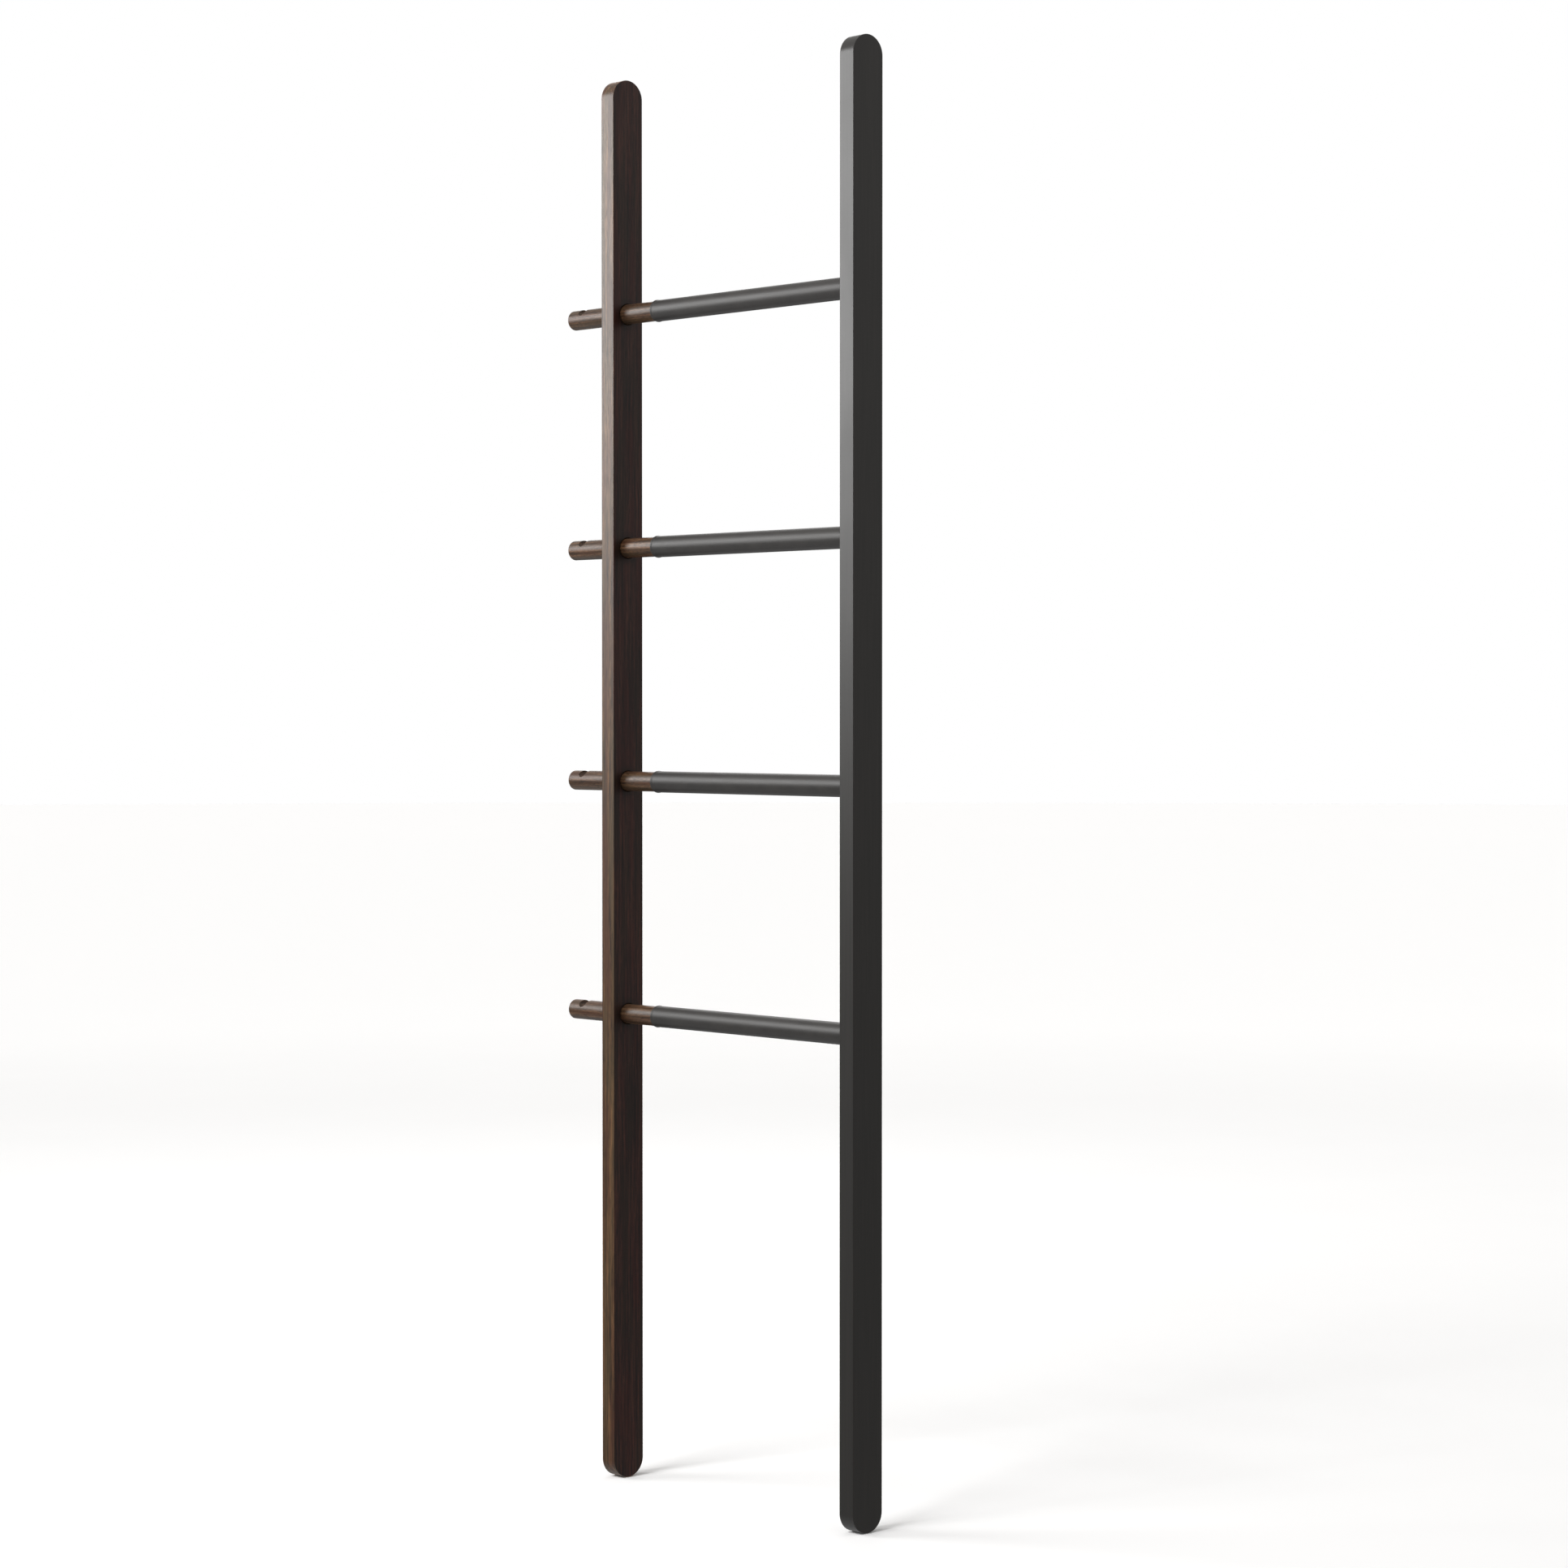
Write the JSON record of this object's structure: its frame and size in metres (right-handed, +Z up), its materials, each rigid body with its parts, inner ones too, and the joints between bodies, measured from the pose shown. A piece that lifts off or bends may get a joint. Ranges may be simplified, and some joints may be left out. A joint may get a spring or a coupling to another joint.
{
  "type": "adjustable ladder rack",
  "caption": "Leaning ladder rack: a stained wood side and a black side that telescope sideways, with round rungs that end in notched hanger pegs.",
  "frame": {"origin": "on the floor, at the centre of the closed rack's outline seen from above, pegs included", "axes": "+X along the rungs towards the black side, +Y towards the wall behind the rack, +Z up the rails"},
  "size_m": [0.4746, 0.0406, 1.5244],
  "materials": {
    "stained_wood": "walnut stain under satin lacquer, fine straight grain",
    "stained_dowel": "walnut stain under satin lacquer, turned, grain along the dowel",
    "black_lacquer": "smooth satin black lacquer that hides the wood under it",
    "tube_coating": "satin black powder coat on thin steel tube",
    "nylon_plug": "moulded black nylon",
    "zinc_steel": "bright zinc plate",
    "rubber": "matt moulded rubber"
  },
  "bodies": {
    "black_side": {"black_rail": "black_lacquer", "tube_1": "tube_coating", "tube_2": "tube_coating", "tube_3": "tube_coating", "tube_4": "tube_coating", "tube_plug_1": "nylon_plug", "tube_plug_2": "nylon_plug", "tube_plug_3": "nylon_plug", "tube_plug_4": "nylon_plug", "plug_screw_1": "zinc_steel", "plug_screw_2": "zinc_steel", "plug_screw_3": "zinc_steel", "plug_screw_4": "zinc_steel", "black_foot_pad": "rubber"},
    "wood_side": {"wood_rail": "stained_wood", "dowel_1": "stained_dowel", "dowel_2": "stained_dowel", "dowel_3": "stained_dowel", "dowel_4": "stained_dowel", "dowel_pin_1": "zinc_steel", "dowel_pin_2": "zinc_steel", "dowel_pin_3": "zinc_steel", "dowel_pin_4": "zinc_steel", "friction_ring_1": "rubber", "friction_ring_2": "rubber", "friction_ring_3": "rubber", "friction_ring_4": "rubber", "wood_foot_pad": "rubber"}
  },
  "joints": [
    {"name": "width_slide", "type": "slide", "parent": "black_side", "child": "wood_side", "axis": [-1, 0, 0], "range_m": [0, 0.203]}
  ]
}
